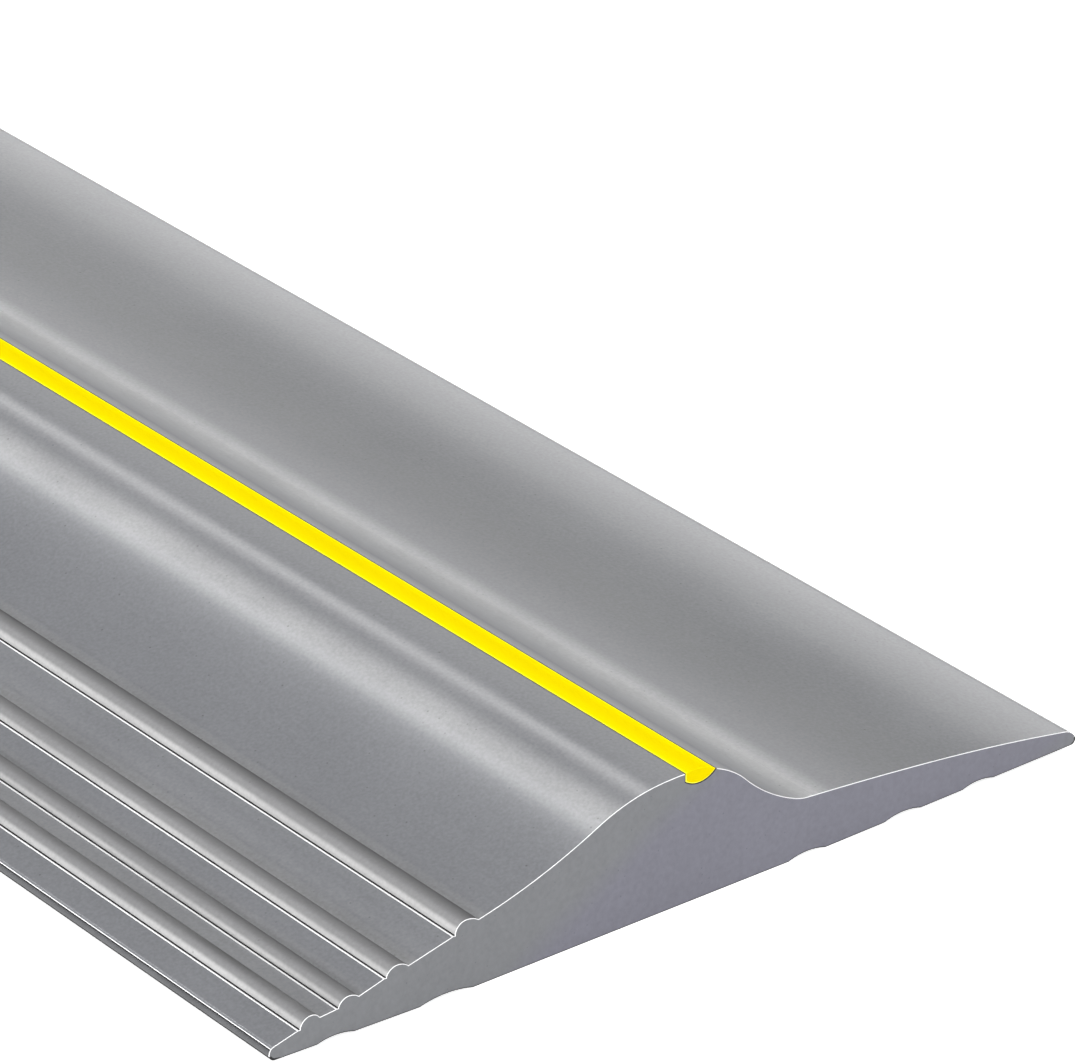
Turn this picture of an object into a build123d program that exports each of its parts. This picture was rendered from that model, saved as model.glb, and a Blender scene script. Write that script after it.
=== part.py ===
from build123d import *

import math
import os

# Rubber threshold strip for a garage door: a ribbed ramp extrusion with a yellow marker bead in its crest.
#
# In millimetres. The strip runs along X. The ribbed toe, which faces the drive, is at -Y and the heel, which
# lies inside the doorway, is at +Y. The floor is the plane Z = 0, and the origin is the middle of the strip's
# place on it. The middle of the underside lies on the floor, and the thin edges spring up from it by half a
# millimetre. Both pieces are one section each, drawn on the YZ plane and extruded to the strip's length.

# Driving dimensions
LENGTH = 3050.0  # ten feet, cut square from the coil
WIDTH = 105.0  # from the toe's edge to the heel's edge
HEIGHT = 15.0  # of the crest above the floor

# Round noses: radius, and the slope in degrees of the face that runs up from each
TOE_RADIUS = 0.8
TOE_SLOPE = 14.5
HEEL_RADIUS = 0.6
HEEL_SHOULDER = (2.1, 49.0)  # radius and turn of the rounding between the heel's nose and that face
HEEL_SLOPE = 10.5

# The spring of the thin edges: where the underside starts to rise to each, from the toe, and its slope
TOE_SPRING = (22.5, 1.7)
HEEL_SPRING = (70.0, 0.93)

# Grip ribs, from the toe upwards: the foot, crown and back of each, as distance from the toe and height
RIBS = (
    ((3.78, 2.93), (5.1, 4.1), (6.2, 3.5)),
    ((8.45, 3.65), (9.7, 4.62), (10.95, 4.15)),
    ((14.3, 4.96), (15.65, 5.97), (17.05, 5.4)),
    ((22.8, 6.68), (24.2, 8.03), (25.75, 7.52)),
)
FOOT_LEDGE = 0.3  # the level step that the die leaves along the foot of each rib

# The crest: where its top is, and the arcs down from it, each as a radius and a turn in degrees
CREST = 52.0
CREST_TOP = (53.0, 3.0)
SHOULDER = (21.8, 23.0)
CREST_BACK = (11.0, 46.0)
DOOR_TROUGH = (19.3, 23.5)
TROUGH_BOTTOM = (6.0, 18.1)
TAIL = (480.0, 2.2)

# Marker bead, from the crest's top backwards: the turn of the crest that it covers, in degrees, the depth of
# its upright front wall, and the sagittas of its rounded bed and of its slightly proud back
BEAD_TURN = 20.5
BEAD_WALL = 0.95
BEAD_BED = 0.74
BEAD_BACK = 0.34

# Glue flutes in the underside, from the toe: distance from the toe, width and depth of each
FLUTES = (
    (8.1, 4.5, 0.35),
    (21.7, 6.6, 0.45),
    (68.2, 4.9, 0.40),
    (81.1, 4.9, 0.40),
    (91.4, 4.2, 0.35),
)

TO_HEEL = (1, 0)  # directions across the section, in its plane
TO_TOE = (-1, 0)


def across(from_toe, height):
    """The place in the section that is this far from the toe's edge and this far above the floor."""
    return (from_toe - WIDTH / 2, height)


def direction(degrees):
    """The direction in the section's plane that is this far round from the one to the heel."""
    return (math.cos(math.radians(degrees)), math.sin(math.radians(degrees)))


def underside(from_toe):
    """How high the underside is above the floor here."""
    toe_rise = (TOE_SPRING[0] - from_toe) * math.tan(math.radians(TOE_SPRING[1]))
    heel_rise = (from_toe - HEEL_SPRING[0]) * math.tan(math.radians(HEEL_SPRING[1]))
    return max(0.0, toe_rise, heel_rise)


def nose_foot(radius, slope):
    """How far in from its edge a full round nose leaves an underside of this slope."""
    return radius * (1 - math.sin(math.radians(slope)))


def flute_radius(width, depth):
    """The radius of the arc that is this wide and this deep."""
    return (width**2 / 4 + depth**2) / (2 * depth)


# The bead comes first, because the groove in the crest is the bead's own section
with BuildPart() as marker_bead:
    with BuildSketch(Plane.YZ) as bead_section:
        with BuildLine():
            covered = JernArc(across(CREST, HEIGHT), TO_HEEL, CREST_BACK[0], -BEAD_TURN, mode=Mode.PRIVATE)
            wall = PolarLine(covered @ 0, BEAD_WALL, -90)
            SagittaArc(wall @ 1, covered @ 1, -BEAD_BED)
            SagittaArc(covered @ 1, covered @ 0, -BEAD_BACK)
        make_face()
    extrude(amount=LENGTH / 2, both=True)
marker_bead.part.label = "marker_bead"

with BuildPart() as ramp_profile:
    with BuildSketch(Plane.YZ) as ramp_section:
        with BuildLine():
            # Toe, treads and ribs, up to the back of the last rib
            toe_foot = nose_foot(TOE_RADIUS, TOE_SPRING[1])
            toe_start = across(toe_foot, underside(toe_foot))
            toe_rise = 180 - TOE_SPRING[1]
            toe = JernArc(toe_start, direction(toe_rise), TOE_RADIUS, TOE_SLOPE - toe_rise)
            tread_start = toe @ 1
            for foot, crown, back in RIBS:
                Polyline(tread_start, across(foot[0] - FOOT_LEDGE, foot[1]), across(*foot))
                TangentArc(across(*crown), across(*foot), tangent=TO_TOE)
                TangentArc(across(*crown), across(*back), tangent=TO_HEEL)
                tread_start = across(*back)

            # From the crest down to the last rib, ending in the long hollow of the ramp
            crest_top = JernArc(across(CREST, HEIGHT), TO_TOE, *CREST_TOP)
            shoulder = JernArc(crest_top @ 1, crest_top % 1, *SHOULDER)
            TangentArc(shoulder @ 1, tread_start, tangent=shoulder % 1)

            # From the crest down into the trough, which the door's bottom seal drops into
            crest_back = JernArc(across(CREST, HEIGHT), TO_HEEL, CREST_BACK[0], -CREST_BACK[1])
            trough = JernArc(crest_back @ 1, crest_back % 1, *DOOR_TROUGH)
            trough_bottom = JernArc(trough @ 1, trough % 1, *TROUGH_BOTTOM)

            # The tail, which steepens towards the heel, and the heel
            tail = JernArc(trough_bottom @ 1, trough_bottom % 1, TAIL[0], -TAIL[1])
            heel_foot = WIDTH - nose_foot(HEEL_RADIUS, HEEL_SPRING[1])
            heel_start = across(heel_foot, underside(heel_foot))
            heel_turn = 180 - HEEL_SLOPE - HEEL_SHOULDER[1] - HEEL_SPRING[1]
            heel = JernArc(heel_start, direction(HEEL_SPRING[1]), HEEL_RADIUS, heel_turn)
            heel_top = JernArc(heel @ 1, heel % 1, *HEEL_SHOULDER)
            TangentArc(heel_top @ 1, tail @ 1, tangent=heel_top % 1)

            # The underside
            Polyline(heel @ 0, across(HEEL_SPRING[0], 0), across(TOE_SPRING[0], 0), toe @ 0)
        make_face()

        add(bead_section.sketch_local, mode=Mode.SUBTRACT)
        for from_toe, width, depth in FLUTES:
            radius = flute_radius(width, depth)
            with Locations(across(from_toe, underside(from_toe) + depth - radius)):
                Circle(radius, mode=Mode.SUBTRACT)
    extrude(amount=LENGTH / 2, both=True)
ramp_profile.part.label = "ramp_profile"

os.makedirs("parts", exist_ok=True)
export_step(marker_bead.part, "parts/marker_bead.step")
export_step(ramp_profile.part, "parts/ramp_profile.step")
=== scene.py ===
"""Looks of the threshold strip: fine meshes, materials, floor, light and camera.

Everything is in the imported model's frame: X along the strip, the ribbed toe at -Y, the heel at +Y,
the floor at Z = 0. Sections are drawn in millimetres from the toe's edge, then placed from the CAD
model's box.
"""

import math

import bmesh
import bpy
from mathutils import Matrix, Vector


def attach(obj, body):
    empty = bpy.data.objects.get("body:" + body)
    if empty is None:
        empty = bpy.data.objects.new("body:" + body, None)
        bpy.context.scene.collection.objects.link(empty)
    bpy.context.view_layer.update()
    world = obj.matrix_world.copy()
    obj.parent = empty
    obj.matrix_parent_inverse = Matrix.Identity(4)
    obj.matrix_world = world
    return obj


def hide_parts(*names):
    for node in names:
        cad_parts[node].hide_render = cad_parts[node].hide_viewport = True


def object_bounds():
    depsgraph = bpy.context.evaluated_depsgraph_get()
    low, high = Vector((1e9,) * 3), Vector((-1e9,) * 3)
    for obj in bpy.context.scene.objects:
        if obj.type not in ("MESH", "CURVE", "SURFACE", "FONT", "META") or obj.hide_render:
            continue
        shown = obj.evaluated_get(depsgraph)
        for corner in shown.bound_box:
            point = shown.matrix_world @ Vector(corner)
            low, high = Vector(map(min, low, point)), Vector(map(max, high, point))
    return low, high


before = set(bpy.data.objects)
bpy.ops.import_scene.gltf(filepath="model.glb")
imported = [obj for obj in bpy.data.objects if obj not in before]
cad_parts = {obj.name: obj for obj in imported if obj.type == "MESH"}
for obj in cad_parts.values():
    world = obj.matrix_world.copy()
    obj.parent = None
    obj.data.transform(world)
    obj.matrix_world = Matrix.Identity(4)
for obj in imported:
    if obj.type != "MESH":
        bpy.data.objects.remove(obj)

MM = 0.001
MICRON = 0.000001
cad_low, cad_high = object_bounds()

# ------------------------------------------------- the section, in millimetres from the toe's edge

WIDTH = (cad_high.y - cad_low.y) / MM
HEIGHT = 15.0  # of the rubber's crest; the bead on it stands a hair higher

# Round noses: radius, and the slope in degrees of the face that runs up from each
TOE_RADIUS = 0.8
TOE_SLOPE = 14.5
HEEL_RADIUS = 0.6
HEEL_SHOULDER = (2.1, 49.0)  # radius and turn of the rounding between the nose and that face
HEEL_SLOPE = 10.5

# The thin edges spring up a little from the floor: where each starts to rise, and its slope
TOE_SPRING = (22.5, 1.7)
HEEL_SPRING = (70.0, 0.93)

# Foot, crown and back of each grip rib, as distance from the toe and height
RIBS = (
    ((3.78, 2.93), (5.1, 4.1), (6.2, 3.5)),
    ((8.45, 3.65), (9.7, 4.62), (10.95, 4.15)),
    ((14.3, 4.96), (15.65, 5.97), (17.05, 5.4)),
    ((22.8, 6.68), (24.2, 8.03), (25.75, 7.52)),
)

# The crest's place, and the arcs down from it: radius and turn in degrees
CREST = 52.0
CREST_TOP = (53.0, 3.0)
SHOULDER = (21.8, 23.0)
CREST_BACK = (11.0, 46.0)
DOOR_TROUGH = (19.3, 23.5)
TROUGH_BOTTOM = (6.0, 18.1)
TAIL = (480.0, 2.2)

# The bead, from the crest's top backwards: the turn of the crest that it covers, in degrees, the
# depth of its upright front wall, and the sagittas of its rounded bed and of its back
BEAD_TURN = 20.5
BEAD_WALL = 0.95
BEAD_BED = 0.74
BEAD_BACK = 0.34

# Centre, width and depth of each glue flute in the underside
FLUTES = (
    (8.1, 4.5, 0.35),
    (21.7, 6.6, 0.45),
    (68.2, 4.9, 0.40),
    (81.1, 4.9, 0.40),
    (91.4, 4.2, 0.35),
)

# Details too small for the CAD model. The toe's nose, in degrees up from its foot: painted shade,
# then a face of painted shade that takes up the rest, painted shade again, a painted highlight, and
# plain skin
TOE_SHADE_TURN = (75.0, 10.0)
TOE_HIGHLIGHT_TURN = 5.5
TOE_TOP_TURN = 26.0

# At the foot of each rib: the lip's width and height, painted as a highlight, and the width of the
# corner painted dark as shade
FOOT_LIP = 0.22
LIP_HEIGHT = 0.06
FOOT_SHADE = 0.11

# The open seams in front of the bead and behind it, painted dark as shade, and the bevel along the
# bead's top corners, painted as a highlight
SEAM_FRONT = 0.14
SEAM_BACK = 0.2
SEAM_DEPTH = 0.04
BEAD_EDGE_WIDTH = 0.1

# Tones, which paint shade (below 0) or light (above 0) into a surface's colour: shade on the toe's
# nose, a highlight at each rib's foot, shade towards its crown and most on its back, and on the bead
# shade on its front and cut end and light on its back
TOE_FACE_TONE = -0.78
RIB_FOOT_TONE = 0.4
RIB_CROWN_TONE = -0.21
RIB_BACK_TONE = -0.85
BEAD_FRONT_TONE = -0.17
BEAD_BACK_TONE = 0.05
BEAD_CUT_TONE = -0.36

# Painted light on the tread behind each rib, lifting the shade that the rib casts there: how far it
# reaches, and its tone right behind each
TREAD_LIGHT_REACH = 1.3
TREAD_LIGHT = (0.12, 0.7, 1.0, 0.7)

# Bands along the strip, each with the place of its middle, its half width, and its tone, which is
# painted light or shade, or how matt it is. The painted highlights go up the front of each rib,
# placed from its foot, the rest from the toe
RIB_HIGHLIGHTS = ((0.17, 0.28, 0.8), (0.75, 0.6, 0.17))
LIGHT_AND_SHADE_BANDS = (
    (5.2, 1.6, -0.24),  # painted shade on the first two ribs, and the tread between them
    (7.4, 1.4, -0.1),
    (9.7, 1.3, -0.08),
    (18.7, 2.8, 0.1),  # painted light on the widest tread, in front of the last rib
    (22.2, 1.0, 0.1),
    (42.2, 3.3, 1.1),  # a painted highlight on the shoulder
    (46.3, 2.2, 0.4),
    (60.5, 5.0, 0.25),  # painted light on the back of the crest
    (64.2, 2.6, 0.28),
    (67.7, 1.7, 0.5),  # a painted highlight in the bottom of the trough
    (68.6, 3.5, 1.1),
    (80.5, 10.5, -0.28),  # painted shade in the middle of the tail
    (95.5, 4.5, 0.1),
    (105.0, 14.0, 0.3),  # painted light towards the edge of the tail
)
MATT_BANDS = (
    (61.0, 7.0, 1.0),  # the back of the crest has lost its sheen
    (67.6, 1.6, 0.9),  # and so has the bottom of the trough, to dust
)

# How finely the sections are drawn: the longest chord, the most that one chord turns, in degrees,
# and the length of one mesh cell along the strip
LONGEST_CHORD = 0.7
MOST_TURN = 3.0
CELL_LENGTH = 30.0
TONE_INSET = 0.01  # a chord's tones are taken this share of it inside its ends

# Colours, as linear red, green and blue; painted light adds its colour to the skin's
SKIN_COLOUR = (0.1415, 0.145, 0.156)
RIB_COLOUR = (0.1435, 0.1435, 0.148)
PAINTED_LIGHT_COLOUR = (0.146, 0.145, 0.14)
CUT_GREY = (0.1334, 0.1375, 0.1455)
CUT_BLUE = (0.129, 0.129, 0.156)
# A painted highlight, nearly white, for the lips and the bevels round a cut
PAINTED_HIGHLIGHT_COLOUR = (0.8, 0.8, 0.81)
# Painted shade, nearly black, for corners, seams and the undersides of the noses
PAINTED_SHADE_COLOUR = (0.019, 0.019, 0.0195)
BEAD_COLOUR = (0.96, 0.765, 0.001)
# A paler yellow, painted as a highlight on the bead's bevelled corners and rims
BEAD_HIGHLIGHT_COLOUR = (0.95, 0.88, 0.07)

# Sheen. The skin's roughness and its noise stay under 0.27, because the denoiser makes blotches
# where noise crosses that value
SKIN_ROUGHNESS = 0.2
RIB_ROUGHNESS = 0.48
MATT_ROUGHNESS = 0.4  # added where the skin is matt
HIGHLIGHT_ROUGHNESS = 0.35
CUT_ROUGHNESS = 0.62
SHADE_ROUGHNESS = 0.75
BEAD_ROUGHNESS = 0.5
SKIN_GLOSS = 0.63
MATT_LOSS = 0.9  # the share of that gloss that is gone where the skin is matt
SHADE_GLOSS = 0.25
BEAD_GLOSS = 0.0

# Kinds of surface, which are the material slots of the meshes: the rubber has all five, and the bead
# has the first two. The second kind is a painted highlight, and the fourth is painted shade
SKIN, PAINTED_HIGHLIGHT, CUT, PAINTED_SHADE, RIB = range(5)

# Along the outline of a cut end: a bevel this deep, and its width and kind; the pale kind paints a
# highlight along it, the dark kind paints shade
RIM_DEPTH = 0.04
HIGHLIGHT_RIM = (0.07, PAINTED_HIGHLIGHT)
SHADED_RIM = (0.12, PAINTED_SHADE)
SHADED_NOSE_RIM = (0.26, PAINTED_SHADE)
BEAD_TOP_RIM = (0.04, SKIN)
BEAD_HIGHLIGHT_RIM = (0.09, PAINTED_HIGHLIGHT)


def moved(start, distance, slope):
    """The place this far from the start, up this slope."""
    angle = math.radians(slope)
    return (start[0] + distance * math.cos(angle), start[1] + distance * math.sin(angle))


class Outline:
    """A closed section, traced with lines and arcs.

    Slopes are in degrees, 0 to the heel and 90 straight up. Each chord has its kind of surface, its
    tones at its two ends, which paint light or shade into its colour, and its rim, the bevel that a
    cut end has along it with its own kind of surface.
    """

    def __init__(self, start, heading, rim):
        self.points = [start]
        self.heading = heading
        self.rim = rim
        self.corners = {0}  # points where the surface has a crease
        self.kinds = []
        self.tones = []
        self.rims = []

    def _add(self, points, kind, tone):
        """Adds a chord to each of these points, with the tone changing evenly along them."""
        count = len(points)
        for i, point in enumerate(points):
            self.points.append(point)
            self.kinds.append(kind)
            self.rims.append(self.rim)
            change = tone[1] - tone[0]
            self.tones.append((tone[0] + change * i / count, tone[0] + change * (i + 1) / count))

    def corner(self):
        """Marks the place reached as a crease."""
        self.corners.add(len(self.points) - 1)

    def line(self, end, kind=SKIN, tone=(0.0, 0.0)):
        """A straight run to this point."""
        start = self.points[-1]
        dy, dz = end[0] - start[0], end[1] - start[1]
        self.heading = math.degrees(math.atan2(dz, dy))
        count = max(1, math.ceil(math.hypot(dy, dz) / LONGEST_CHORD))
        steps = [i / count for i in range(1, count + 1)]
        self._add([(start[0] + dy * t, start[1] + dz * t) for t in steps], kind, tone)

    def arc(self, radius, turn, kind=SKIN, tone=(0.0, 0.0)):
        """An arc that carries on from the heading, turning left where turn is above 0."""
        side = math.copysign(1, turn)
        centre = moved(self.points[-1], radius, self.heading + 90 * side)
        spoke = self.heading - 90 * side
        length = radius * math.radians(abs(turn))
        count = max(2, math.ceil(abs(turn) / MOST_TURN), math.ceil(length / LONGEST_CHORD))
        made = [moved(centre, radius, spoke + turn * i / count) for i in range(1, count + 1)]
        self._add(made, kind, tone)
        self.heading += turn

    def arc_to(self, end, leave=None, arrive=None, kind=SKIN, tone=(0.0, 0.0)):
        """An arc to this point that leaves or arrives at this slope, or else carries on."""
        start = self.points[-1]
        dy, dz = end[0] - start[0], end[1] - start[1]
        chord = math.degrees(math.atan2(dz, dy))
        if arrive is not None:
            leave = 2 * chord - arrive
        elif leave is None:
            leave = self.heading
        half_turn = (chord - leave + 180) % 360 - 180
        self.heading = leave
        radius = math.hypot(dy, dz) / 2 / abs(math.sin(math.radians(half_turn)))
        self.arc(radius, 2 * half_turn, kind, tone)
        self.points[-1] = end

    def close(self):
        """Drops the last point, which is the first again."""
        self.points.pop()
        self.corners.discard(len(self.points))
        return self


def sagitta_turn(start, end, sagitta):
    """Half the turn of the arc between two points that bulges by the sagitta, in degrees."""
    chord = math.hypot(end[0] - start[0], end[1] - start[1])
    return math.degrees(2 * math.atan(2 * sagitta / chord))


def down_the_arc(start, radius, turn):
    """Where an arc that starts level at this point and falls towards the heel ends."""
    angle = math.radians(turn)
    return (start[0] + radius * math.sin(angle), start[1] - radius * (1 - math.cos(angle)))


def slope_between(start, end):
    """The slope of the straight line from one point to the other."""
    return math.degrees(math.atan2(end[1] - start[1], end[0] - start[0]))


def groove_places():
    """The groove's front top corner, the foot of its front wall, and its back top corner."""
    front = (CREST, HEIGHT)
    return front, (CREST, HEIGHT - BEAD_WALL), down_the_arc(front, CREST_BACK[0], BEAD_TURN)


def shoulder_foot():
    """Where the shoulder's arc, falling from the crest, meets the hollow of the ramp."""
    top, low = math.radians(CREST_TOP[1]), math.radians(CREST_TOP[1] + SHOULDER[1])
    return (
        CREST - CREST_TOP[0] * math.sin(top) - SHOULDER[0] * (math.sin(low) - math.sin(top)),
        HEIGHT
        - CREST_TOP[0] * (1 - math.cos(top))
        - SHOULDER[0] * (math.cos(top) - math.cos(low)),
    )


def band(from_toe, middle, half_width, amount):
    """A band's amount here: all in its middle, fading smoothly to none at its half width."""
    away = min(1.0, abs(from_toe - middle) / half_width)
    return amount * (0.5 + 0.5 * math.cos(math.pi * away))


def painted_tone(from_toe):
    """The tone that the bands of painted light and shade, the painted highlights up the ribs and the
    painted light behind them add here.
    """
    tone = sum(band(from_toe, *painted_band) for painted_band in LIGHT_AND_SHADE_BANDS)
    for (foot, _, back), lift in zip(RIBS, TREAD_LIGHT):
        if foot[0] < from_toe < back[0]:
            tone += sum(band(from_toe - foot[0], *highlight) for highlight in RIB_HIGHLIGHTS)
        if 0 < from_toe - back[0] < TREAD_LIGHT_REACH:
            tone += lift * (1 - (from_toe - back[0]) / TREAD_LIGHT_REACH)
    return tone


def mattness(from_toe):
    """How much of its sheen the skin has lost here, from 0 to 1."""
    return min(1.0, sum(band(from_toe, *matt) for matt in MATT_BANDS))


def underside(from_toe):
    """How high the underside is above the floor here."""
    toe_rise = (TOE_SPRING[0] - from_toe) * math.tan(math.radians(TOE_SPRING[1]))
    heel_rise = (from_toe - HEEL_SPRING[0]) * math.tan(math.radians(HEEL_SPRING[1]))
    return max(0.0, toe_rise, heel_rise)


def rubber_outline():
    """The rubber's section, from the toe's foot over the ramp to the heel and back underneath."""
    toe_foot = TOE_RADIUS * (1 - math.sin(math.radians(TOE_SPRING[1])))
    out = Outline((toe_foot, underside(toe_foot)), 180.0 - TOE_SPRING[1], SHADED_NOSE_RIM)
    face_turn = 180 - TOE_SPRING[1] - TOE_SLOPE - TOE_TOP_TURN - TOE_HIGHLIGHT_TURN - sum(TOE_SHADE_TURN)
    # The toe's nose: painted shade, a face of painted shade, painted shade again, a painted
    # highlight, then plain skin
    out.arc(TOE_RADIUS, -TOE_SHADE_TURN[0], PAINTED_SHADE)
    out.rim = HIGHLIGHT_RIM
    out.arc(TOE_RADIUS, -face_turn, tone=(TOE_FACE_TONE, TOE_FACE_TONE))
    out.arc(TOE_RADIUS, -TOE_SHADE_TURN[1], PAINTED_SHADE)
    out.arc(TOE_RADIUS, -TOE_HIGHLIGHT_TURN, PAINTED_HIGHLIGHT)
    out.arc(TOE_RADIUS, -TOE_TOP_TURN)
    for foot, crown, back in RIBS:
        # At each rib's foot: a lip painted as a highlight, then a corner painted dark as shade
        lip_end = foot[0] - FOOT_SHADE
        out.line((lip_end - FOOT_LIP, foot[1]))
        out.corner()
        out.line((lip_end - FOOT_LIP + LIP_HEIGHT, foot[1] + LIP_HEIGHT), PAINTED_HIGHLIGHT)
        out.line((lip_end, foot[1]), PAINTED_HIGHLIGHT)
        out.corner()
        out.line(foot, PAINTED_SHADE)
        out.corner()
        out.line((foot[0], foot[1] + FOOT_SHADE), PAINTED_SHADE)
        out.arc_to(crown, arrive=0.0, kind=RIB, tone=(RIB_FOOT_TONE, RIB_CROWN_TONE))
        out.arc_to(back, leave=0.0, kind=RIB, tone=(RIB_CROWN_TONE, RIB_BACK_TONE))
        out.corner()
    out.arc_to(shoulder_foot(), arrive=CREST_TOP[1] + SHOULDER[1])
    out.arc(SHOULDER[0], -SHOULDER[1])
    out.arc(CREST_TOP[0], -CREST_TOP[1])

    # The groove, with its top corners open for the seams, and its walls and bed painted dark as
    # shade
    front, wall_foot, back = groove_places()
    seam_turn = math.degrees(SEAM_BACK / CREST_BACK[0])
    out.points[-1] = (front[0] - SEAM_FRONT, front[1])
    out.corner()
    out.rim = SHADED_RIM
    out.line((front[0], front[1] - SEAM_DEPTH), PAINTED_SHADE)
    out.corner()
    out.line(wall_foot, PAINTED_SHADE)
    out.corner()
    bed_slope = slope_between(wall_foot, back) - sagitta_turn(wall_foot, back, BEAD_BED)
    out.arc_to((back[0], back[1] - SEAM_DEPTH), leave=bed_slope, kind=PAINTED_SHADE)
    out.corner()
    out.line(down_the_arc(front, CREST_BACK[0], BEAD_TURN + seam_turn), PAINTED_SHADE)
    out.corner()

    # The crest's back, the trough, the tail and the heel
    out.rim = HIGHLIGHT_RIM
    out.heading = -BEAD_TURN - seam_turn
    out.arc(CREST_BACK[0], BEAD_TURN + seam_turn - CREST_BACK[1])
    out.arc(*DOOR_TROUGH)
    out.arc(*TROUGH_BOTTOM)
    out.arc(TAIL[0], -TAIL[1])
    foot_angle = math.radians(HEEL_SPRING[1])
    heel_foot = WIDTH - HEEL_RADIUS * (1 - math.sin(foot_angle))
    nose = Outline((heel_foot, underside(heel_foot)), HEEL_SPRING[1], SHADED_NOSE_RIM)
    nose_turn = 180 - HEEL_SLOPE - HEEL_SHOULDER[1] - HEEL_SPRING[1]
    nose.arc(HEEL_RADIUS, nose_turn)
    nose.arc(*HEEL_SHOULDER)
    out.arc_to(nose.points[-1], arrive=-HEEL_SLOPE)
    out.arc(HEEL_SHOULDER[0], -HEEL_SHOULDER[1])
    out.rim = SHADED_NOSE_RIM
    out.arc(HEEL_RADIUS, -nose_turn)
    for i, (start_tone, end_tone) in enumerate(out.tones):
        start, end = out.points[i][0], out.points[i + 1][0]
        inset = TONE_INSET * (end - start)
        out.tones[i] = (start_tone + painted_tone(start + inset), end_tone + painted_tone(end - inset))

    # The underside, back towards the toe
    out.rim = SHADED_RIM
    for centre, width, depth in reversed(FLUTES):
        heel_side, toe_side = centre + width / 2, centre - width / 2
        start, end = (heel_side, underside(heel_side)), (toe_side, underside(toe_side))
        out.line(start)
        out.corner()
        out.arc_to(end, leave=slope_between(start, end) - sagitta_turn(start, end, depth))
        out.corner()
    out.line(out.points[0])
    return out.close()


def bead_outline():
    """The bead's section: up its front wall, over its bevelled top corners and round its bed."""
    front, wall_foot, back = groove_places()
    bevel = BEAD_EDGE_WIDTH
    top_start, top_end = (front[0] + bevel, front[1]), (back[0] - bevel, back[1] + bevel / 2)
    out = Outline(wall_foot, 90.0, BEAD_HIGHLIGHT_RIM)
    out.line((front[0], front[1] - bevel))
    out.rim = BEAD_TOP_RIM
    out.line(top_start, PAINTED_HIGHLIGHT)
    top_slope = slope_between(top_start, top_end) + sagitta_turn(top_start, top_end, BEAD_BACK)
    out.arc_to(top_end, leave=top_slope, tone=(BEAD_FRONT_TONE, BEAD_BACK_TONE))
    out.line(back, PAINTED_HIGHLIGHT)
    out.corner()
    out.rim = BEAD_HIGHLIGHT_RIM
    bed_slope = slope_between(back, wall_foot) - sagitta_turn(back, wall_foot, -BEAD_BED)
    out.arc_to(wall_foot, leave=bed_slope)
    return out.close()


def inward(points, i):
    """The direction into the material at a point of a clockwise outline.

    It is long enough to keep a bevel even, but at most twice as long as on a straight.
    """
    before, here, after = points[i - 1], points[i], points[(i + 1) % len(points)]
    normals = []
    for a, b in ((before, here), (here, after)):
        dy, dz = b[0] - a[0], b[1] - a[1]
        length = math.hypot(dy, dz)
        normals.append((dz / length, -dy / length))
    total = (normals[0][0] + normals[1][0], normals[0][1] + normals[1][1])
    scale = 2 / max(total[0] ** 2 + total[1] ** 2, 1.0)
    return (total[0] * scale, total[1] * scale)


def extrusion(name, out, cut_kind, cut_tone):
    """The mesh of an outline drawn along the strip, with a bevelled and cut face at each end."""
    count = len(out.points)
    inset = []
    for i, point in enumerate(out.points):
        into = inward(out.points, i)
        bevel = out.rims[i][0]
        inset.append((point[0] + into[0] * bevel, point[1] + into[1] * bevel))

    low, high = cad_low.x / MM, cad_high.x / MM
    length = high - low - 2 * RIM_DEPTH
    cells = round(length / CELL_LENGTH)
    stations = [low + RIM_DEPTH + length * i / cells for i in range(cells + 1)]
    sections = [(low, inset)] + [(x, out.points) for x in stations] + [(high, inset)]

    work = bmesh.new()
    tone = work.loops.layers.float.new("tone")
    matt = work.loops.layers.float.new("matt")
    rings = []
    for x, section in sections:
        rings.append([work.verts.new((x * MM, y * MM + cad_low.y, z * MM)) for y, z in section])
    last = len(rings) - 2
    for r in range(last + 1):
        for i in range(count):
            j = (i + 1) % count
            face = work.faces.new((rings[r][i], rings[r + 1][i], rings[r + 1][j], rings[r][j]))
            face.smooth = True
            face.material_index = out.rims[i][1] if r in (0, last) else out.kinds[i]
            start_tone, end_tone = out.tones[i]
            start_matt, end_matt = mattness(out.points[i][0]), mattness(out.points[j][0])
            for loop, at_end in zip(face.loops, (False, False, True, True)):
                loop[tone] = end_tone if at_end else start_tone
                loop[matt] = end_matt if at_end else start_matt
    for ring in (rings[0], rings[-1][::-1]):
        face = work.faces.new(ring)
        face.material_index = cut_kind
        for loop in face.loops:
            loop[tone] = cut_tone

    for r in range(last + 1):
        for i in out.corners:
            work.edges.get((rings[r][i], rings[r + 1][i])).smooth = False
    for r in (0, 1, last, last + 1):
        for i in range(count):
            work.edges.get((rings[r][i], rings[r][(i + 1) % count])).smooth = False
    mesh = bpy.data.meshes.new(name)
    work.to_mesh(mesh)
    work.free()
    piece = bpy.data.objects.new(name, mesh)
    bpy.context.collection.objects.link(piece)
    return piece


# --------------------------------------------------------------------------------------- materials


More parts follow.
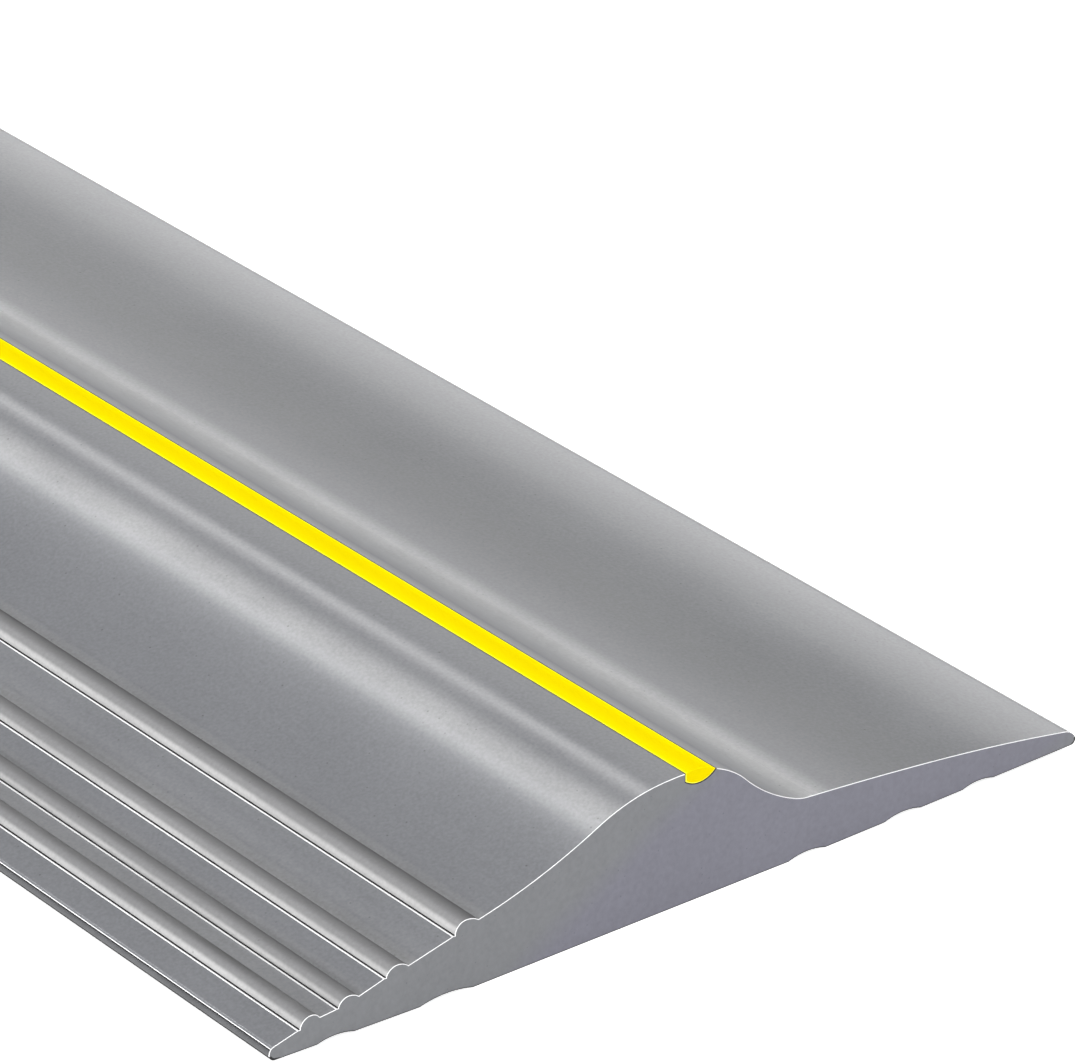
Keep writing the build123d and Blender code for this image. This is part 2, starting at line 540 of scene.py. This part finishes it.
class Paint:
    """One procedural material: its shader, and the nodes that drive it by place, in metres."""

    def __init__(self, name):
        self.material = bpy.data.materials.new(name)
        self.material.use_nodes = True
        self.tree = self.material.node_tree
        self.shader = self.tree.nodes["Principled BSDF"]
        self.place = self.node("ShaderNodeTexCoord").outputs["Object"]

    def node(self, kind, inputs=None, **settings):
        """A new node with these settings, its inputs linked or set by name."""
        made = self.tree.nodes.new(kind)
        for name, value in settings.items():
            setattr(made, name, value)
        for name, value in (inputs or {}).items():
            self.feed(made.inputs[name], value)
        return made

    def feed(self, socket, value):
        """Links an output to a socket, or sets the socket to a plain value."""
        if isinstance(value, bpy.types.NodeSocket):
            self.tree.links.new(value, socket)
        else:
            socket.default_value = value

    def calculate(self, operation, *values):
        """The output of a new Math node with these values, in the order of its sockets."""
        made = self.node("ShaderNodeMath", operation=operation)
        for socket, value in zip(made.inputs, values):
            self.feed(socket, value)
        return made.outputs[0]

    def vector(self, operation, inputs):
        """The vector output of a new Vector Math node with these inputs."""
        return self.node("ShaderNodeVectorMath", inputs, operation=operation).outputs[0]

    def total(self, start, *terms):
        """The start value plus each (amount, value) pair's product."""
        result = start
        for amount, value in terms:
            result = self.calculate("MULTIPLY_ADD", value, amount, result)
        return result

    def scaled_place(self, per_metre):
        """The place on the piece, with this many units to the metre along X, Y and Z."""
        return self.vector("MULTIPLY", {0: self.place, 1: per_metre})

    def noise(self, per_metre, detail=2.0):
        """Noise from -1 to 1, with this many features to the metre along X, Y and Z."""
        made = self.node("ShaderNodeTexNoise", {
            "Vector": self.scaled_place(per_metre),
            "Scale": 1.0,
            "Detail": detail,
        })
        return self.calculate("MULTIPLY_ADD", made.outputs["Fac"], 2.0, -1.0)

    def specks(self, per_metre, radius, share):
        """Round specks, 1 inside and 0 outside, in this share of so many cells to the metre."""
        cells = self.node("ShaderNodeTexVoronoi", {
            "Vector": self.scaled_place((per_metre,) * 3),
            "Scale": 1.0,
        })
        spot = self.node("ShaderNodeMapRange", {
            "Value": cells.outputs["Distance"],
            "From Min": radius,
            "From Max": radius / 2,
        })
        chosen = self.calculate("LESS_THAN", cells.outputs["Color"], share)
        return self.calculate("MULTIPLY", spot.outputs["Result"], chosen)

    def from_mesh(self, name):
        """What the mesh says about the surface: its tone, or how matt it is."""
        return self.node("ShaderNodeAttribute", attribute_name=name).outputs["Fac"]

    def finish(self, colour, brightness, roughness, height, depth):
        """Sets colour times brightness, the roughness, and a bump of height times depth."""
        scaled = self.vector("SCALE", {0: colour, "Scale": brightness})
        self.feed(self.shader.inputs["Base Color"], scaled)
        self.feed(self.shader.inputs["Roughness"], roughness)
        bump = self.node("ShaderNodeBump", {"Height": height, "Distance": depth, "Strength": 1.0})
        self.feed(self.shader.inputs["Normal"], bump.outputs["Normal"])
        return self.material


# The bluer middle of a cut end, in metres: where it is on the floor, where it starts to fade and
# where it ends on either side of that, how far its edges waver, and how far it leans to the heel
# for each metre up
CUT_BLUE_MIDDLE = 0.0127
CUT_BLUE_REACH = (0.0317, 0.0385)
CUT_BLUE_WAVER = 0.003
CUT_BLUE_LEAN = 1.8

# Noises, as features to the metre along X, Y and Z
GRAIN = (2600, 2600, 2600)  # the fine matt grain of the rubber
DIE_LINES = (1.2, 500, 500)  # faint lines that the die draws along the strip
CLOUDS = (55, 75, 75)  # slow changes in the colour of the rubber
HIGHLIGHT_CLOUDS = (300, 300, 300)
CUT_GRAIN = (1900, 1900, 1900)
CUT_CLOUDS = (60, 90, 90)
KNIFE_MARKS = (10, 1300, 40)
SHADE_CLOUDS = (200, 400, 400)
BEAD_GRAIN = (3200, 3200, 3200)

MIX_COLOURS = (6, 7)  # the colour sockets of a Mix node, and its colour output
MIX_RESULT = 2


def rubber_skin(name, colour, roughness):
    """The extruded skin: satin grey with a fine grain, with the painted shade and painted light of
    the mesh's tones.
    """
    paint = Paint(name)
    grain = paint.noise(GRAIN)
    lines = paint.noise(DIE_LINES, detail=0.0)
    clouds = paint.noise(CLOUDS, detail=3.0)
    specks = paint.specks(per_metre=900, radius=0.13, share=0.3)
    tone = paint.calculate("MULTIPLY", paint.from_mesh("tone"), paint.total(1.0, (0.35, clouds)))
    matt = paint.from_mesh("matt")
    # Tones above 0 are painted light, added in a neutral colour; tones below 0 are painted shade,
    # which darkens the colour
    light_amount, shade_amount = paint.calculate("MAXIMUM", tone, 0.0), paint.calculate("MINIMUM", tone, 0.0)
    shade_squared = paint.calculate("MULTIPLY", shade_amount, shade_amount)
    lit_colour = paint.vector("MULTIPLY_ADD", {0: light_amount, 1: PAINTED_LIGHT_COLOUR, 2: colour})
    detail = paint.total(1.0, (0.2, grain), (0.02, lines), (0.05, clouds), (-0.3, specks))
    gloss = paint.total(SKIN_GLOSS, (-MATT_LOSS * SKIN_GLOSS, matt))
    paint.feed(paint.shader.inputs["Specular IOR Level"], gloss)
    return paint.finish(
        colour=lit_colour,
        brightness=paint.calculate("MULTIPLY", paint.total(1.0, (0.85, shade_amount)), detail),
        roughness=paint.total(
            roughness, (0.03, clouds), (0.02, grain), (0.3, shade_squared), (MATT_ROUGHNESS, matt)
        ),
        height=paint.total(0.0, (1.0, grain), (-2.0, specks)),
        depth=0.5 * MICRON,
    )


def rubber_painted_highlight():
    """Painted highlights: nearly white lines along the toe's lip, the lips at the rib feet and the
    bevels round a cut.
    """
    paint = Paint("rubber_painted_highlight")
    grain, clouds = paint.noise(GRAIN), paint.noise(HIGHLIGHT_CLOUDS)
    return paint.finish(
        colour=PAINTED_HIGHLIGHT_COLOUR,
        brightness=paint.total(1.0, (0.08, grain), (0.08, clouds)),
        roughness=paint.total(HIGHLIGHT_ROUGHNESS, (0.1, clouds)),
        height=grain,
        depth=2 * MICRON,
    )


def rubber_cut():
    """The cut end: matt and granular, with faint knife marks, and a little bluer in its middle."""
    paint = Paint("rubber_cut")
    grain, clouds = paint.noise(CUT_GRAIN, detail=4.0), paint.noise(CUT_CLOUDS, detail=3.0)
    knife = paint.noise(KNIFE_MARKS)
    pores = paint.specks(per_metre=1200, radius=0.14, share=0.35)
    place = paint.node("ShaderNodeSeparateXYZ", {0: paint.place}).outputs
    across = paint.total(place["Y"], (-CUT_BLUE_LEAN, place["Z"]))
    away = paint.calculate("ABSOLUTE", paint.calculate("SUBTRACT", across, CUT_BLUE_MIDDLE))
    blue = paint.node("ShaderNodeMapRange", {
        "Value": paint.total(away, (CUT_BLUE_WAVER, clouds)),
        "From Min": CUT_BLUE_REACH[1],
        "From Max": CUT_BLUE_REACH[0],
    }).outputs["Result"]
    colours = paint.node("ShaderNodeMix", {
        "Factor": blue,
        MIX_COLOURS[0]: (*CUT_GREY, 1),
        MIX_COLOURS[1]: (*CUT_BLUE, 1),
    }, data_type="RGBA")
    return paint.finish(
        colour=colours.outputs[MIX_RESULT],
        brightness=paint.total(1.0, (0.2, grain), (0.06, knife), (0.04, clouds), (-0.25, pores)),
        roughness=paint.total(CUT_ROUGHNESS, (0.08, grain), (0.08, knife)),
        height=paint.total(0.0, (1.0, grain), (1.0, knife), (-2.0, pores)),
        depth=4 * MICRON,
    )


def rubber_painted_shade():
    """Painted shade, nearly black: in the corners and seams, on the toe's nose, and round the rims
    of the noses, the groove and the underside.
    """
    paint = Paint("rubber_painted_shade")
    grain, clouds = paint.noise(GRAIN), paint.noise(SHADE_CLOUDS)
    paint.shader.inputs["Specular IOR Level"].default_value = SHADE_GLOSS
    return paint.finish(
        colour=PAINTED_SHADE_COLOUR,
        brightness=paint.total(1.0, (0.2, grain), (0.4, clouds)),
        roughness=paint.total(SHADE_ROUGHNESS, (0.1, clouds)),
        height=grain,
        depth=4 * MICRON,
    )


def bead_paint(name, colour):
    """Matt coloured rubber with a finer grain than the grey's, die lines and a few dark specks, and
    the painted shade and light of the mesh's tones.
    """
    paint = Paint(name)
    grain = paint.noise(BEAD_GRAIN)
    lines = paint.noise(DIE_LINES)
    clouds = paint.noise(CLOUDS, detail=3.0)
    specks = paint.specks(per_metre=500, radius=0.06, share=0.2)
    tone = paint.from_mesh("tone")
    paint.shader.inputs["Specular IOR Level"].default_value = BEAD_GLOSS
    return paint.finish(
        colour=colour,
        brightness=paint.total(
            1.0, (1.0, tone), (0.03, grain), (0.03, lines), (0.03, clouds), (-0.3, specks)
        ),
        roughness=paint.total(BEAD_ROUGHNESS, (0.06, clouds), (0.05, grain)),
        height=paint.total(0.0, (1.0, grain), (0.6, lines)),
        depth=2 * MICRON,
    )


# ------------------------------------------------------------------------------------------ pieces

rubber = extrusion("rubber_profile", rubber_outline(), CUT, 0.0)
rubber.data.materials.append(rubber_skin("rubber_skin", SKIN_COLOUR, SKIN_ROUGHNESS))
for make in (rubber_painted_highlight, rubber_cut, rubber_painted_shade):
    rubber.data.materials.append(make())
rubber.data.materials.append(rubber_skin("rubber_rib", RIB_COLOUR, RIB_ROUGHNESS))
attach(rubber, "root")
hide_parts("ramp_profile")

bead = extrusion("marker_bead_rubber", bead_outline(), SKIN, BEAD_CUT_TONE)
bead.data.materials.append(bead_paint("bead_skin", BEAD_COLOUR))
bead.data.materials.append(bead_paint("bead_painted_highlight", BEAD_HIGHLIGHT_COLOUR))
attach(bead, "root")
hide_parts("marker_bead")

# ------------------------------------------------------------------------ floor, light and camera

WHITE = (1, 1, 1, 1)
FLOOR_HALF = 60.0
FLOOR_DROP = 0.00002  # the floor lies just under the strip, so that their faces don't coincide
FLOOR_COLOUR = (0.8, 0.8, 0.8, 1)
FLOOR_ROUGHNESS = 0.9

# How brightly the floor and the world light the strip, and how bright they look to the camera
FLOOR_GLOW = 0.4
FLOOR_WHITE = 0.72
WORLD_LIGHT = 0.36
WORLD_WHITE = 1.0

# Long softboxes hung along the strip, their middles above its near end: the direction of each in
# degrees from straight overhead, above 0 towards the toe's side; how many degrees of the sky it
# spans; and its radiance
SOFTBOX_DISTANCE = 1.2
SOFTBOX_LENGTH = 9.0
DIFFUSE_ONLY = "toe_side_low"  # this one leaves no glare, which would spoil views from the heel
SOFTBOXES = (
    ("toe_side_low", 82.5, 14.0, 13.8),
    ("overhead", 6.0, 3.5, 9.0),
    ("overhead_heel_side", -29.0, 5.0, 4.6),
    ("crest", -45.0, 14.0, 1.0),
    ("heel_side_high", -57.0, 3.5, 4.8),
    ("heel_side_low", -74.0, 5.5, 3.0),
)


def brighter_when_seen(tree, socket, light, seen):
    """Sets how bright this looks to the camera, apart from the light that it casts."""
    by_camera = tree.nodes.new("ShaderNodeLightPath").outputs["Is Camera Ray"]
    strength = tree.nodes.new("ShaderNodeMapRange")
    strength.inputs["To Min"].default_value = light
    strength.inputs["To Max"].default_value = seen
    tree.links.new(by_camera, strength.inputs["Value"])
    tree.links.new(strength.outputs["Result"], socket)


def softbox(name, angle, spread, radiance):
    """A softbox at this angle, facing the crest, unseen by the camera."""
    light = bpy.data.lights.new(name, "AREA")
    light.shape = "RECTANGLE"
    light.size = SOFTBOX_LENGTH
    light.size_y = 2 * SOFTBOX_DISTANCE * math.tan(math.radians(spread / 2))
    light.energy = radiance * math.pi * light.size * light.size_y
    lamp = bpy.data.objects.new(name, light)
    away = Vector((0, -math.sin(math.radians(angle)), math.cos(math.radians(angle))))
    lamp.location = Vector((cad_high.x, 0, HEIGHT * MM)) + away * SOFTBOX_DISTANCE
    lamp.rotation_euler.x = math.radians(angle)
    lamp.visible_camera = False
    lamp.visible_glossy = name != DIFFUSE_ONLY
    bpy.context.collection.objects.link(lamp)


floor_mesh = bpy.data.meshes.new("floor")
floor_corners = [(-FLOOR_HALF, -FLOOR_HALF, 0), (FLOOR_HALF, -FLOOR_HALF, 0)]
floor_corners += [(FLOOR_HALF, FLOOR_HALF, 0), (-FLOOR_HALF, FLOOR_HALF, 0)]
floor_mesh.from_pydata(floor_corners, [], [(0, 1, 2, 3)])
floor = bpy.data.objects.new("floor", floor_mesh)
bpy.context.collection.objects.link(floor)
floor.location.z = -FLOOR_DROP
floor_material = bpy.data.materials.new("pale_floor")
floor_material.use_nodes = True
floor_shader = floor_material.node_tree.nodes["Principled BSDF"]
floor_shader.inputs["Base Color"].default_value = FLOOR_COLOUR
floor_shader.inputs["Roughness"].default_value = FLOOR_ROUGHNESS
floor_shader.inputs["Emission Color"].default_value = WHITE
floor_emission = floor_shader.inputs["Emission Strength"]
brighter_when_seen(floor_material.node_tree, floor_emission, FLOOR_GLOW, FLOOR_WHITE)
floor.data.materials.append(floor_material)

world = bpy.data.worlds.new("studio")
world.use_nodes = True
backdrop = world.node_tree.nodes["Background"]
backdrop.inputs["Color"].default_value = WHITE
brighter_when_seen(world.node_tree, backdrop.inputs["Strength"], WORLD_LIGHT, WORLD_WHITE)
bpy.context.scene.world = world

for box in SOFTBOXES:
    softbox(*box)

bpy.context.scene.view_settings.view_transform = "Standard"

# The camera looks from the ribbed side at a place as high as the crest, this far inside the near
# end and this far to the heel's side of the strip's middle
AIM_INSIDE = 0.0512
AIM_BEHIND = 0.021
AIM = Vector((cad_high.x - AIM_INSIDE, AIM_BEHIND, HEIGHT * MM))
AZIMUTH = 51.95
ELEVATION = 27.0
DISTANCE = 0.762
LENS = 237.5

azimuth, elevation = math.radians(AZIMUTH), math.radians(ELEVATION)
back = Vector((
    math.sin(azimuth) * math.cos(elevation),
    -math.cos(azimuth) * math.cos(elevation),
    math.sin(elevation),
))
camera = bpy.data.objects.new("camera", bpy.data.cameras.new("camera"))
camera.data.lens = LENS
camera.location = AIM + back * DISTANCE
camera.rotation_mode = "QUATERNION"
camera.rotation_quaternion = (-back).to_track_quat("-Z", "Y")
bpy.context.collection.objects.link(camera)
bpy.context.scene.camera = camera
